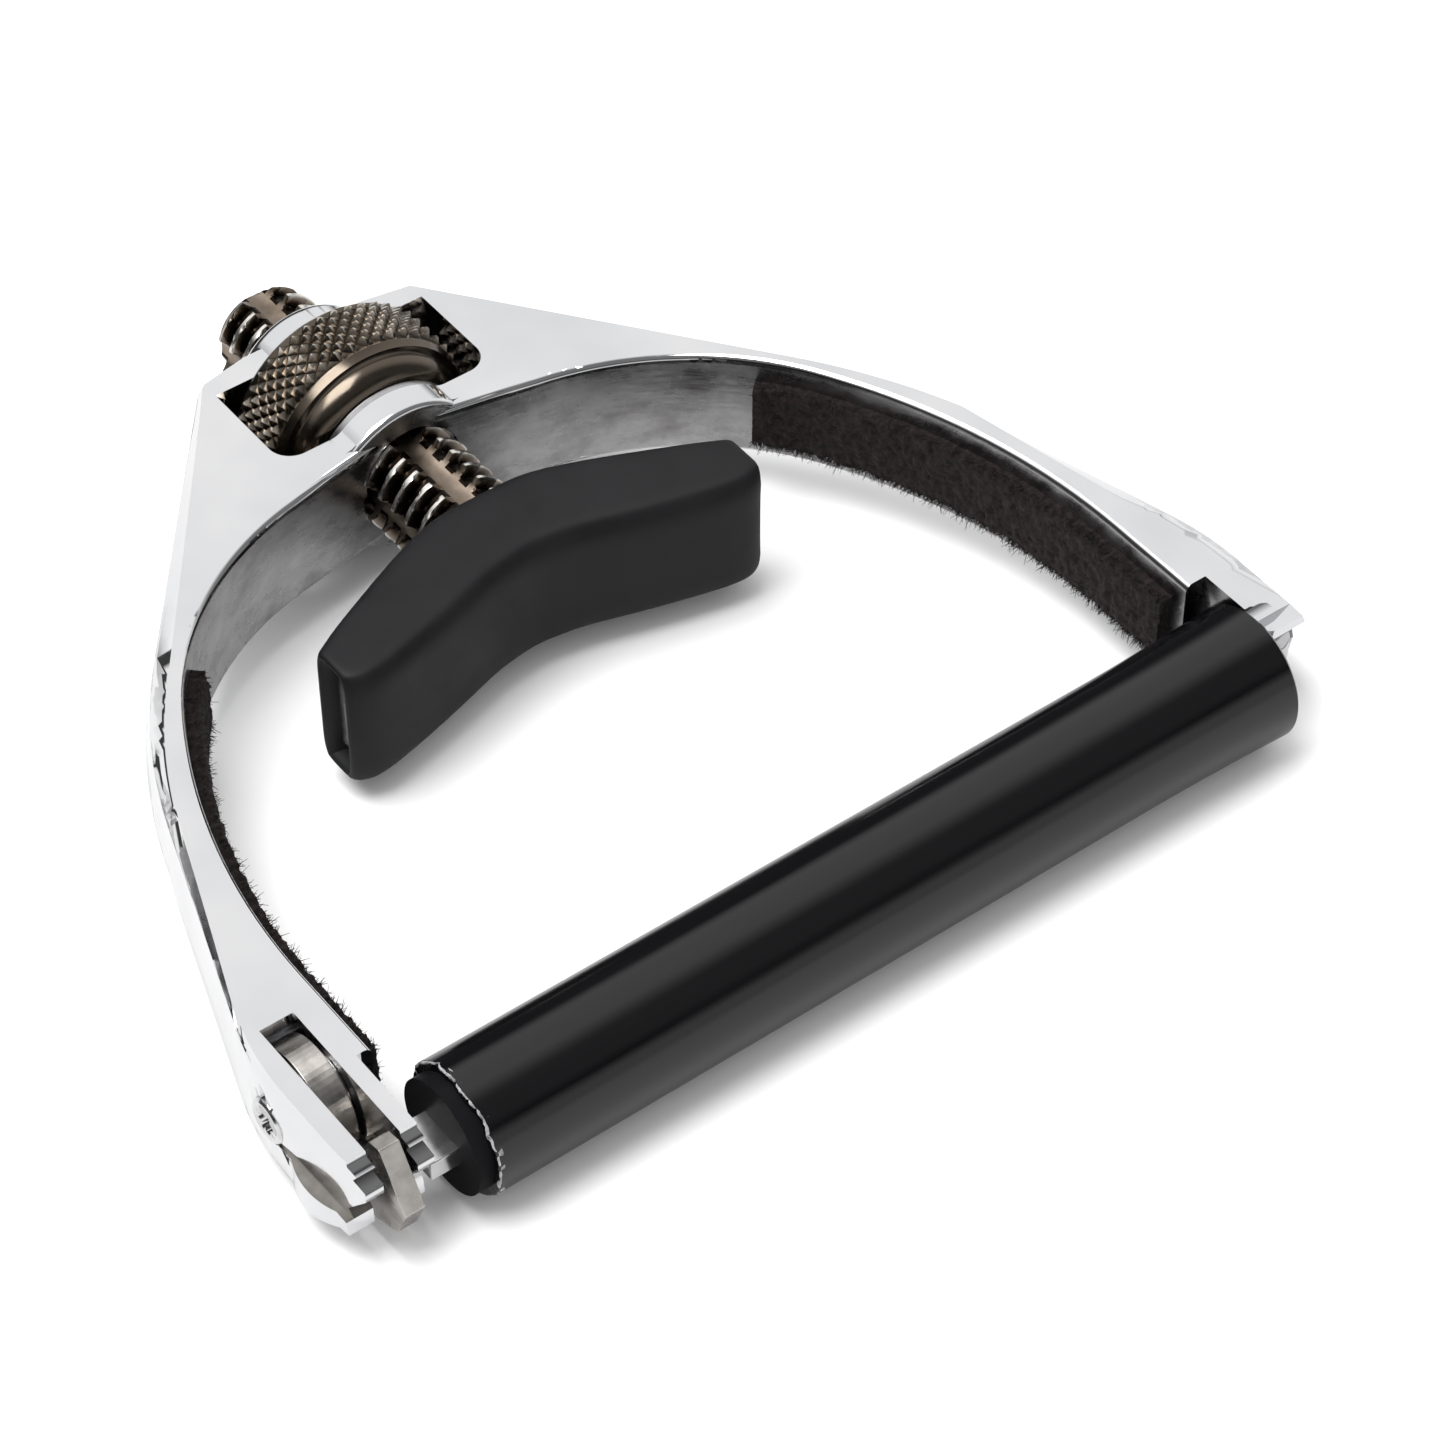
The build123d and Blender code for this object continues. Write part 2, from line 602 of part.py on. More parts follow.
def make_hinge_pin():
    pin = rod_z(HINGE_PIN_R, -HALF_T + 0.4, HINGE_PIN_TOP, HINGE_X, HINGE_Y)
    return chamfer(pin.edges().group_by(Axis.Z)[0], 0.2)


# ---------------------------------------------------------------- latch
def make_lever():
    """Hook lever: a disc on the pivot, a shank under the slot and an upright hook at its mouth."""
    x0 = SLOT_MID - LEVER_T / 2
    x1 = SLOT_MID + LEVER_T / 2
    disc = rod_x(LEVER_R, x0, x1, PIVOT_Y, PIVOT_Z)
    hook = [
        (PIVOT_Y - 1.0, PIVOT_Z - 3.9),
        (-0.5, -3.4),
        (-2.8, -2.4),
        (-3.9, 0.2),
        (-1.4, 4.2),
        (-0.3, 4.0),
        (0.6, 2.4),
        (0.9, -1.2),
        (PIVOT_Y - 3.3, -1.3),
        (PIVOT_Y - 1.0, PIVOT_Z - 1.5),
    ]
    lever = disc + side_slab(hook, x1 - HOOK_T, x1)
    return lever - rod_x(LATCH_PIN_R + RUN_CLEAR, x0 - 1, x1 + 1, PIVOT_Y, PIVOT_Z)


def make_shims():
    """Two thin washers, one each side of the lever."""
    gap = LEVER_SIDE
    left = rod_x(SHIM_R, SLOT_X0, SLOT_X0 + SHIM_T, PIVOT_Y, PIVOT_Z)
    right = rod_x(SHIM_R, SLOT_X1 - SHIM_T, SLOT_X1, PIVOT_Y, PIVOT_Z)
    assert SHIM_T < gap
    hole = rod_x(LATCH_PIN_R, SLOT_X0 - 1, SLOT_X1 + 1, PIVOT_Y, PIVOT_Z)
    return Compound([left - hole, right - hole])


def make_latch_screw():
    """Six-lobe screw through the fork: the lever's pivot."""
    wall = -OUTER_HALF
    head = rod_x(LATCH_HEAD_R, wall, wall + LATCH_HEAD_T, PIVOT_Y, PIVOT_Z)
    head = chamfer(head.edges().sort_by(Axis.X)[0], 0.15)
    shank = rod_x(LATCH_PIN_R, wall + LATCH_HEAD_T, SLOT_X1 + LATCH_BITE, PIVOT_Y, PIVOT_Z)
    recess = rod_x(TORX_R - TORX_LOBE, wall - 1, wall + TORX_DEEP, PIVOT_Y, PIVOT_Z)
    for lobe in range(6):
        angle = lobe * pi / 3
        ly = PIVOT_Y + (TORX_R - TORX_LOBE) * cos(angle)
        lz = PIVOT_Z + (TORX_R - TORX_LOBE) * sin(angle)
        recess = recess + rod_x(TORX_LOBE, wall - 1, wall + TORX_DEEP, ly, lz)
    return head + shank - recess


# ---------------------------------------------------------------- build
def main():
    os.makedirs("parts", exist_ok=True)
    ring = raw_frame()
    save(make_head(ring), "yoke_head")
    save(make_arm_left(ring), "yoke_arm_left")
    save(make_arm_right(ring), "yoke_arm_right")
    liner = make_liner()
    save(liner, "liner_right")
    save(mirrored(liner), "liner_left")
    save(make_wheel(), "thumbwheel")
    save(make_washer(WINDOW_Y0), "thrust_washer_front")
    save(make_washer(WINDOW_Y1 - WASHER_T), "thrust_washer_rear")
    save(make_screw(), "adjusting_screw")
    save(Compound([key_block(-1), key_block(1)]), "guide_keys")
    saddle = make_saddle()
    save(saddle, "saddle")
    save(make_boot(saddle), "saddle_boot")
    save(make_saddle_screw(), "saddle_screw")
    core = make_bar_core()
    save(core, "bar_core")
    save(make_tube(core), "bar_tube")
    save(make_sleeve(), "bar_sleeve")
    save(make_hinge_pin(), "hinge_pin")
    save(make_lever(), "latch_lever")
    save(make_shims(), "latch_shims")
    save(make_latch_screw(), "latch_screw")
    print("crown", CROWN_Y, "window", WINDOW_Y0, WINDOW_Y1, "apex", APEX_Y, "tail", TAIL_Y)
    print("boot", BOOT_BACK, BOOT_VALLEY, "hinge", HINGE_X, HINGE_Y, "sleeve", SLEEVE_X0, SLEEVE_X1)


main()
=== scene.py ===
"""Looks of the yoke capo: polished frame, knurled wheel, interrupted screw, rubber saddle, bar and latch.

X runs along the string bar, Y from the bar to the thumbwheel and Z through the frame's thickness.
Meshes are shaped in millimetres and turned to metres as each piece is finished.
"""
import bpy
import bmesh
import random
from math import atan2, cos, hypot, pi, radians, sin, sqrt
from mathutils import Matrix, Vector, noise


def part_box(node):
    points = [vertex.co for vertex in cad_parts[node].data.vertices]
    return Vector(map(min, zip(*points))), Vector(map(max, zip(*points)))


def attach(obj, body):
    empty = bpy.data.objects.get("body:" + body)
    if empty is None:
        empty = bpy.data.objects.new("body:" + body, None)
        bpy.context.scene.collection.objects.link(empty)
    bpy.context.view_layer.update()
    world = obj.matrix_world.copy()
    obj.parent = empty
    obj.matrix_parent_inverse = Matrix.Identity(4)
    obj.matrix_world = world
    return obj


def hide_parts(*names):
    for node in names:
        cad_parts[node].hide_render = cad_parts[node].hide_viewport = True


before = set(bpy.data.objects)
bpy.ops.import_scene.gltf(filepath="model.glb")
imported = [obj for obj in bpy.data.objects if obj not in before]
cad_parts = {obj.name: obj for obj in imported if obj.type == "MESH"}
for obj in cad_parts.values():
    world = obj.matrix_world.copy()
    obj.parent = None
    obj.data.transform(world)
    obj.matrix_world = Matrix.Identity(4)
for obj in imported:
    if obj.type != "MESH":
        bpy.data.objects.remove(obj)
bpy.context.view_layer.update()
MM = 0.001

# The inner wall of an arm, in millimetres: a straight, a low arc and a high arc
WALL_X = 33.2
LOW_ARC_CENTRE = (-14.8, 13.0)
LOW_ARC_R = 48.0
LOW_ARC_TURN = 30           # degrees
HIGH_ARC_CENTRE = (5.985, 25.0)
HIGH_ARC_R = 24.0
LINER_TOP = 42.2            # degrees along the arcs, where a liner ends
FIBRES_A_LINER = 3600

# Input names of a Map Range node, in the order that its four values are given here
SPAN = ("From Min", "From Max", "To Min", "To Max")
NOISE = "ShaderNodeTexNoise"


# ---------------------------------------------------------------- small tools
def node_box(node):
    """Lowest and highest corners of a CAD node, in millimetres."""
    low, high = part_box(node)
    return low / MM, high / MM


def linear(hex_colour):
    """An sRGB hex colour as linear RGBA."""
    values = [int(hex_colour[i:i + 2], 16) / 255 for i in (1, 3, 5)]
    return [v / 12.92 if v <= 0.04045 else ((v + 0.055) / 1.055) ** 2.4 for v in values] + [1.0]


def add_node(tree, kind, settings=None, inputs=None, links=None, stops=(), feeds=None):
    """A shader node with its settings, input values, links into it, colour stops and links out of it."""
    node = tree.nodes.new(kind)
    for key, value in (settings or {}).items():
        setattr(node, key, value)
    for key, value in (inputs or {}).items():
        node.inputs[key].default_value = value
    for key, (other, output) in (links or {}).items():
        tree.links.new(other.outputs[output], node.inputs[key])
    if stops:
        points = node.color_ramp.elements
        while len(points) < len(stops):
            points.new(0.5)
        for point, (position, colour) in zip(points, stops):
            point.position = position
            point.color = colour
    for key, (other, socket) in (feeds or {}).items():
        tree.links.new(node.outputs[key], other.inputs[socket])
    return node


def new_finish(name, inputs=None):
    """An empty material: its tree, its Principled shader with some fixed inputs, and the Object coordinates."""
    material = bpy.data.materials.new(name)
    material.use_nodes = True
    tree = material.node_tree
    tree.nodes.clear()
    output = add_node(tree, "ShaderNodeOutputMaterial")
    shader = add_node(tree, "ShaderNodeBsdfPrincipled", inputs=inputs, feeds={"BSDF": (output, "Surface")})
    place = (add_node(tree, "ShaderNodeTexCoord"), "Object")
    return material, tree, shader, place


def lay_surface(tree, shader, colour=None, rough=None, relief=None):
    """Drives a finish's colour, roughness and relief, each from a pattern's output and its own values."""
    if colour:
        source, stops = colour
        feeds = {"Color": (shader, "Base Color")}
        add_node(tree, "ShaderNodeValToRGB", links={"Fac": source}, stops=stops, feeds=feeds)
    if rough:
        source, values = rough
        feeds = {"Result": (shader, "Roughness")}
        inputs = dict(zip(SPAN, values))
        add_node(tree, "ShaderNodeMapRange", inputs=inputs, links={"Value": source}, feeds=feeds)
    if relief:
        source, depth_mm, strength = relief
        values = {"Strength": strength, "Distance": depth_mm * MM}
        feeds = {"Normal": (shader, "Normal")}
        add_node(tree, "ShaderNodeBump", inputs=values, links={"Height": source}, feeds=feeds)


def per_mm(size):
    """Noise scale for a grain of this size in millimetres, in a scene measured in metres."""
    return 1000.0 / size


def new_object(name, mesh, body, finish, replaced=()):
    """A piece that rides on a body and stands for CAD nodes."""
    piece = bpy.data.objects.new(name, mesh)
    bpy.context.scene.collection.objects.link(piece)
    mesh.materials.append(finish)
    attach(piece, body)
    if replaced:
        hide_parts(*replaced)
    return piece


def shaped_piece(name, shape, body, finish, replaced, sharp):
    """Turns a bmesh in millimetres into a finished piece, smooth up to a given crease angle."""
    bmesh.ops.remove_doubles(shape, verts=shape.verts, dist=1e-4)
    bmesh.ops.recalc_face_normals(shape, faces=shape.faces)
    bmesh.ops.scale(shape, vec=(MM, MM, MM), verts=shape.verts)
    mesh = bpy.data.meshes.new(name)
    shape.to_mesh(mesh)
    shape.free()
    mesh.shade_smooth()
    mesh.set_sharp_from_angle(angle=radians(sharp))
    return new_object(name, mesh, body, finish, replaced)


def shade_evenly(piece):
    """Weights a piece's normals by its faces, so that flat faces look flat."""
    even = piece.modifiers.new("even_shading", "WEIGHTED_NORMAL")
    even.keep_sharp = True


def machined_copy(node, name, body, finish, break_mm):
    """A copy of a CAD node, with its edges broken where a width is given, which stands for that node."""
    crease = radians(32)
    shape = bmesh.new()
    shape.from_mesh(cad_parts[node].data)
    bmesh.ops.remove_doubles(shape, verts=shape.verts, dist=1e-6)
    if break_mm:
        bmesh.ops.dissolve_limit(shape, angle_limit=radians(0.3), verts=shape.verts, edges=shape.edges)
    mesh = bpy.data.meshes.new(name)
    shape.to_mesh(mesh)
    shape.free()
    mesh.shade_smooth()
    mesh.set_sharp_from_angle(angle=crease)
    piece = new_object(name, mesh, body, finish, [node])
    if break_mm:
        edge = piece.modifiers.new("broken_edges", "BEVEL")
        edge.width = break_mm * MM
        edge.segments = 3
        edge.limit_method = "ANGLE"
        edge.angle_limit = crease
        edge.use_clamp_overlap = True
        edge.harden_normals = True
    else:
        shade_evenly(piece)
    return piece


# ---------------------------------------------------------------- finishes
def polished_stainless_steel():
    """Cast stainless steel, ground and mirror polished: clear reflections, faintly smeared and rippled."""
    material, tree, shader, place = new_finish("polished_stainless_steel", {"Metallic": 1.0})
    at = {"Vector": place}
    tint = add_node(tree, NOISE, inputs={"Scale": per_mm(9.0), "Detail": 2.0, "Roughness": 0.5}, links=at)
    smear = add_node(tree, NOISE, inputs={"Scale": per_mm(1.6), "Detail": 4.0, "Roughness": 0.6}, links=at)
    ripple = add_node(tree, NOISE, inputs={"Scale": per_mm(5.0), "Detail": 1.0, "Roughness": 0.5}, links=at)
    lay_surface(
        tree, shader,
        colour=((tint, "Fac"), [(0.3, linear("#D9DADC")), (0.7, linear("#E6E6E7"))]),
        rough=((smear, "Fac"), (0.35, 0.7, 0.06, 0.13)),
        relief=((ripple, "Fac"), 0.02, 0.35),
    )
    return material


def plain_steel(name, low, high, rough_low, rough_high):
    """Machined steel with a fine turned or satin surface."""
    material, tree, shader, place = new_finish(name, {"Metallic": 1.0})
    at = {"Vector": place}
    patch = add_node(tree, NOISE, inputs={"Scale": per_mm(1.5), "Detail": 3.0, "Roughness": 0.5}, links=at)
    fine = add_node(tree, NOISE, inputs={"Scale": per_mm(0.5), "Detail": 4.0, "Roughness": 0.6}, links=at)
    lay_surface(
        tree, shader,
        colour=((patch, "Fac"), [(0.3, linear(low)), (0.7, linear(high))]),
        rough=((patch, "Fac"), (0.3, 0.7, rough_low, rough_high)),
        relief=((fine, "Fac"), 0.01, 0.3),
    )
    return material


def moulded_rubber(name, gloss):
    """Moulded black rubber: matte, with a fine skin and a faint bloom."""
    material, tree, shader, place = new_finish(name, {"Specular IOR Level": gloss})
    at = {"Vector": place}
    bloom = add_node(tree, NOISE, inputs={"Scale": per_mm(5.0), "Detail": 4.0, "Roughness": 0.6}, links=at)
    skin = add_node(tree, NOISE, inputs={"Scale": per_mm(0.25), "Detail": 3.0, "Roughness": 0.6}, links=at)
    lay_surface(
        tree, shader,
        colour=((bloom, "Fac"), [(0.3, linear("#111113")), (0.7, linear("#18181A"))]),
        rough=((bloom, "Fac"), (0.3, 0.7, 0.48, 0.6)),
        relief=((skin, "Fac"), 0.02, 0.25),
    )
    return material


def glossy_sleeve_vinyl():
    """Extruded black vinyl sleeve: deep black and glossy, with faint drawing lines along it."""
    material, tree, shader, place = new_finish("glossy_black_vinyl", {"Base Color": linear("#08080A")})
    along = add_node(tree, "ShaderNodeMapping", inputs={"Scale": (0.03, 1.0, 1.0)}, links={"Vector": place})
    values = {"Scale": per_mm(0.7), "Detail": 3.0, "Roughness": 0.5}
    draw = add_node(tree, NOISE, inputs=values, links={"Vector": (along, "Vector")})
    lay_surface(tree, shader, rough=((draw, "Fac"), (0.3, 0.7, 0.1, 0.2)), relief=((draw, "Fac"), 0.01, 0.25))
    return material


def napped_suede():
    """Dark brown-black suede: a soft nap with lighter fibre tips and no gloss."""
    dull = {"Roughness": 0.95, "Specular IOR Level": 0.15, "Sheen Weight": 0.05, "Sheen Roughness": 0.5}
    material, tree, shader, place = new_finish("napped_dark_suede", dull)
    values = {"Scale": per_mm(0.5), "Detail": 6.0, "Roughness": 0.7}
    nap = add_node(tree, NOISE, inputs=values, links={"Vector": place})
    stops = [(0.35, linear("#0E0B0B")), (0.65, linear("#2A2222"))]
    lay_surface(tree, shader, colour=((nap, "Fac"), stops), relief=((nap, "Fac"), 0.15, 0.8))
    return material


def turned_black_nickel(name, stops, deep_at_mm, crest_at_mm, rough_low, rough_high):
    """Dark plated steel about the Y axis: darker in the cuts as painted shade, and lighter on the crests,
    partly worn plating and partly painted highlight.
    """
    material, tree, shader, place = new_finish(name, {"Metallic": 1.0})
    at = {"Vector": place}
    axes = add_node(tree, "ShaderNodeSeparateXYZ", links=at)
    flat = add_node(tree, "ShaderNodeCombineXYZ", links={"X": (axes, "X"), "Y": (axes, "Z")})
    radius = add_node(tree, "ShaderNodeVectorMath", {"operation": "LENGTH"}, links={0: (flat, "Vector")})
    values = dict(zip(SPAN, (deep_at_mm * MM, crest_at_mm * MM, 0.0, 1.0)))
    # Painted shade in the cuts, and painted highlight with wear on the crests, set by radius
    shade_and_wear_by_radius = add_node(tree, "ShaderNodeMapRange", inputs=values, links={"Value": (radius, "Value")})
    patch = add_node(tree, NOISE, inputs={"Scale": per_mm(0.8), "Detail": 4.0, "Roughness": 0.6}, links=at)
    fine = add_node(tree, NOISE, inputs={"Scale": per_mm(0.3), "Detail": 3.0, "Roughness": 0.6}, links=at)
    lay_surface(
        tree, shader,
        colour=((shade_and_wear_by_radius, "Result"), stops),
        rough=((patch, "Fac"), (0.3, 0.7, rough_low, rough_high)),
        relief=((fine, "Fac"), 0.008, 0.3),
    )
    return material


def cast_inner_wall():
    """Investment-cast steel, brushed but not polished: grey satin with casting marks and drag scratches, the
    grey darkened partly as painted reflection of the shade under the boot and bar.
    """
    material, tree, shader, place = new_finish("satin_wall_painted_shade", {"Metallic": 1.0})
    wide = add_node(tree, "ShaderNodeMapping", inputs={"Scale": (1.0, 1.0, 1.6)}, links={"Vector": place})
    values = {"Scale": per_mm(3.5), "Detail": 5.0, "Roughness": 0.6}
    blotch = add_node(tree, NOISE, inputs=values, links={"Vector": (wide, "Vector")})
    long = add_node(tree, "ShaderNodeMapping", inputs={"Scale": (0.25, 0.25, 2.0)}, links={"Vector": place})
    values = {"Scale": per_mm(0.8), "Detail": 4.0, "Roughness": 0.6}
    drag = add_node(tree, NOISE, inputs=values, links={"Vector": (long, "Vector")})
    # Darker grey than the polished steel: painted reflection of the shade under the boot and bar
    stops = [(0.3, linear("#858384")), (0.5, linear("#A5A4A5")), (0.72, linear("#BDBDBE"))]
    lay_surface(
        tree, shader,
        colour=((blotch, "Fac"), stops),
        rough=((blotch, "Fac"), (0.3, 0.7, 0.2, 0.36)),
        relief=((drag, "Fac"), 0.03, 0.5),
    )
    return material


def torn_vinyl():
    """Vinyl torn along a cut: stretched pale grey, rough and dull."""
    material, tree, shader, place = new_finish("torn_pale_vinyl", {"Roughness": 0.6})
    values = {"Scale": per_mm(0.5), "Detail": 5.0, "Roughness": 0.7}
    tear = add_node(tree, NOISE, inputs=values, links={"Vector": place})
    stops = [(0.3, linear("#2A2A2C")), (0.5, linear("#8E8E90")), (0.7, linear("#B9B9BB"))]
    lay_surface(tree, shader, colour=((tear, "Fac"), stops), relief=((tear, "Fac"), 0.08, 0.7))
    return material


STEEL = polished_stainless_steel()
SATIN_WALL_WITH_SHADE = cast_inner_wall()
TORN_VINYL = torn_vinyl()
RUBBER = moulded_rubber("moulded_black_rubber", 0.22)
TUBE_RUBBER = moulded_rubber("dull_tube_rubber", 0.03)
SLEEVE = glossy_sleeve_vinyl()
SUEDE = napped_suede()
# Both nickel ramps run from painted shade in the cuts to crests of wear and painted highlight
BLACK_NICKEL = turned_black_nickel(
    "black_nickel_plate", [(0.0, linear("#5E564D")), (0.5, linear("#A1978B")), (1.0, linear("#E0D9CF"))],
    8.1, 8.6, 0.14, 0.24,
)
SCREW_STEEL = turned_black_nickel(
    "warm_nickel_thread",
    [(0.0, linear("#1E1814")), (0.35, linear("#4A3F36")), (0.8, linear("#8A8075")), (1.0, linear("#E6E2DC"))],
    3.35, 4.2, 0.16, 0.26,
)
FLUTE_STEEL = plain_steel("warm_nickel_flute", "#76695C", "#94877A", 0.28, 0.4)
# Dark grey for the ledge top: painted shade and painted dark reflection
LEDGE_PAINTED_SHADE = plain_steel("ledge_painted_shade", "#45433F", "#5E5B58", 0.3, 0.42)
PIN_STEEL = plain_steel("ground_pin_steel", "#A8A8AA", "#C4C4C5", 0.16, 0.26)
LATCH_STEEL = plain_steel("satin_latch_steel", "#A5A09B", "#C6C2BD", 0.22, 0.34)
BRIGHT_STEEL = plain_steel("bright_machined_steel", "#C9C9CA", "#DEDEDE", 0.14, 0.24)


# ---------------------------------------------------------------- turned pieces
def turned(profile, steps):
    """A bmesh turned about the Y axis from a profile of (radius, y) pairs."""
    shape = bmesh.new()
    verts = [shape.verts.new((radius, y, 0)) for radius, y in profile]
    for one, two in zip(verts, verts[1:] + verts[:1]):
        shape.edges.new((one, two))
    bmesh.ops.spin(
        shape, geom=shape.verts[:] + shape.edges[:], cent=(0, 0, 0), axis=(0, 1, 0), angle=2 * pi, steps=steps,
        use_merge=True,
    )
    bmesh.ops.remove_doubles(shape, verts=shape.verts, dist=1e-3)
    return shape


def set_radius(vert, radius):
    """Moves a vertex to a radius about the Y axis."""
    now = hypot(vert.co.x, vert.co.z)
    vert.co.x *= radius / now
    vert.co.z *= radius / now


def knurled_thumbwheel():
    """Thumbwheel: a diamond knurl at the rear, and a smooth rolled shoulder in front of it."""
    low, high = node_box("thumbwheel")
    front, back, rim = low.y, high.y, high.x
    steps, rows, row, depth = 88, 9, 0.585, 0.5
    band_back = back - 0.35
    band_front = band_back - row * (rows - 1)
    root = rim - depth
    bore = 4.3
    knurl = [(root, band_front + row * i) for i in range(rows)]
    shoulder = [
        (bore, front + 0.1), (5.3, front), (6.05, front + 0.04), (6.6, front + 0.25), (7.0, front + 0.62),
        (7.25, front + 1.05), (7.36, front + 1.45), (7.38, front + 1.6), (7.55, front + 1.72),
        (7.9, front + 1.8), (8.1, band_front - 0.22), (root + 0.05, band_front - 0.12),
    ]
    rear = [
        (root - 0.25, back - 0.05), (root - 0.8, back), (6.6, back), (6.4, back - 0.25), (bore, back - 0.25),
    ]
    shape = turned(shoulder + knurl + rear, steps)
    shape.verts.ensure_lookup_table()
    valleys, crests = [], []
    for vert in shape.verts:
        place = (vert.co.y - band_front) / row
        line = round(place)
        outside = hypot(vert.co.x, vert.co.z) > root - 0.02
        if abs(place - line) < 0.02 and 0 <= line < rows and outside:
            step = round(atan2(vert.co.z, vert.co.x) / (2 * pi / steps))
            crest = (line + step) % 2 == 0 and 0 < line < rows - 1
            (crests if crest else valleys).append(vert)
    bmesh.ops.connect_verts(shape, verts=valleys)
    for vert in crests:
        set_radius(vert, rim)
    bmesh.ops.bevel(
        shape, geom=crests, affect="VERTICES", offset=0.09, offset_type="OFFSET", segments=1, profile=0.5,
        material=-1, clamp_overlap=True,
    )
    return shaped_piece("thumbwheel_looks", shape, "wheel", BLACK_NICKEL, ["thumbwheel"], 28)


def thread_radius(y, angle, crest, pitch, depth):
    """Radius of a trapezoid thread at a height along its axis and an angle round it."""
    phase = abs(((y / pitch + angle / (2 * pi)) % 1.0) - 0.5) * 2
    return crest - depth * min(1.0, max(0.0, (phase - 0.26) / 0.24))


def flute_radius(angle, flute_r, flute_at):
    """Radius left by the nearest of four lengthwise flutes, or a large value away from them."""
    off = (angle + pi / 4) % (pi / 2) - pi / 4
    across = flute_at * sin(off)
    return flute_at * cos(off) - sqrt(flute_r ** 2 - across ** 2) if abs(across) < flute_r else 99.0


def threaded_adjusting_screw():
    """Adjusting screw: a trapezoid thread cut by four round flutes, with a domed tail and a plain spigot."""
    low, high = node_box("adjusting_screw")
    crest, tail = 4.2, high.y
    start = node_box("saddle_boot")[1].y - 0.7
    pitch, depth, dome, step = 1.6, 0.85, 2.2, 0.13
    flute_r, flute_at = 1.7, 4.7
    count = int((tail - start) / step)
    line = [(crest, start + (tail - start) * i / count) for i in range(count + 1)]
    spigot = [(1.15, low.y), (2.3, low.y), (2.3, start - 0.001), (2.8, start - 0.0005)]
    shape = turned(spigot + line + [(1.5, tail), (0.0, tail)] + [(0.0, start + 3), (1.15, start + 3)], 120)
    shape.verts.index_update()
    fluted = set()
    for vert in shape.verts:
        radius = hypot(vert.co.x, vert.co.z)
        if radius < crest - 0.3:
            continue
        angle = atan2(vert.co.z, vert.co.x)
        flute = flute_radius(angle, flute_r, flute_at)
        cut = thread_radius(vert.co.y, angle, crest, pitch, depth)
        if flute < cut:
            cut = flute
            fluted.add(vert.index)
        near = tail - vert.co.y
        if near < dome:
            cut = min(cut, crest - dome + sqrt(max(0.0, dome ** 2 - (dome - near) ** 2)))
        set_radius(vert, cut)
    for face in shape.faces:
        face.material_index = 1 if all(v.index in fluted for v in face.verts) else 0
    piece = shaped_piece(
        "adjusting_screw_looks", shape, "saddle_slide", SCREW_STEEL, ["adjusting_screw"], 30
    )
    piece.data.materials.append(FLUTE_STEEL)
    return piece


# ---------------------------------------------------------------- rubber pieces
def between(stations, x):
    """Reads a pair of values between stations given as (x, first, second)."""
    x = min(max(x, stations[0][0]), stations[-1][0])
    for (x0, a0, b0), (x1, a1, b1) in zip(stations, stations[1:]):
        if x <= x1:
            share = (x - x0) / (x1 - x0)
            return a0 + (a1 - a0) * share, b0 + (b1 - b0) * share
    return stations[-1][1:]


def moulded_boot():
    """V-shaped rubber boot, open at its left end, where the steel insert shows in a tall slit."""
    half, back, tall = node_box("saddle_boot")[1]
    valley, wall = 34.525, 0.85
    stations = [
        (0, valley, back), (3.5, valley - 0.5, back), (6, valley - 1.3, back - 0.75),
        (9, valley - 2.2, back - 2.0), (13, valley - 3.2, back - 3.9), (15.4, valley - 3.65, back - 5.1),
        (16.6, valley - 3.35, back - 5.9), (half, valley - 2.7, back - 6.3),
    ]
    shape = bmesh.new()
    bmesh.ops.create_cube(shape, size=1)
    bmesh.ops.scale(shape, vec=(2 * half, 1, 1), verts=shape.verts)
    cuts = [s * x for s in (-1, 1) for x in (1.7, 3.5, 6, 9, 11, 13, 15.4, 16.6)] + [0]
    for x in cuts:
        bmesh.ops.bisect_plane(
            shape, geom=shape.verts[:] + shape.edges[:] + shape.faces[:], plane_co=(x, 0, 0), plane_no=(1, 0, 0)
        )
    long_edges = [e for e in shape.edges if abs(e.verts[0].co.x - e.verts[1].co.x) > 0.1]
    bmesh.ops.bevel(
        shape, geom=long_edges, affect="EDGES", offset=0.17, offset_type="OFFSET", segments=3, profile=0.5,
        material=-1, clamp_overlap=True,
    )
    for height, along in ((0, (0, 1, 0)), (0, (0, 0, 1)), (0.24, (0, 0, 1)), (-0.24, (0, 0, 1))):
        bmesh.ops.bisect_plane(
            shape, geom=shape.verts[:] + shape.edges[:] + shape.faces[:], plane_co=(0, 0, height),
            plane_no=along,
        )
    bmesh.ops.recalc_face_normals(shape, faces=shape.faces)
    for vert in shape.verts:
        front, rear = between(stations, abs(vert.co.x))
        share = vert.co.y + 0.5
        rise = vert.co.z * 2
        crown = 0.0 if abs(vert.co.x) < half - 0.5 else 0.25
        vert.co.y = front + (rear - front) * share
        vert.co.z = rise * (tall - crown * abs(share - 0.5))
    mouth = [f for f in shape.faces if f.normal.x < -0.9]
    bmesh.ops.inset_region(
        shape, faces=mouth, thickness=wall, depth=0.0, use_even_offset=True, use_boundary=True
    )
    for face in mouth:
        for vert in face.verts:
            vert.co.x = -half
    sunk = bmesh.ops.extrude_face_region(shape, geom=mouth)
    inner = [g for g in sunk["geom"] if isinstance(g, bmesh.types.BMVert)]
    bmesh.ops.delete(shape, geom=mouth, context="FACES")
    for vert in inner:
        vert.co.x += 3.2
        vert.co.y -= 0.8
    piece = shaped_piece(
        "saddle_boot_looks", shape, "saddle_slide", RUBBER, ["saddle_boot"], 180
    )
    smooth = piece.modifiers.new("moulded_form", "SUBSURF")
    smooth.levels = smooth.render_levels = 2
    return piece


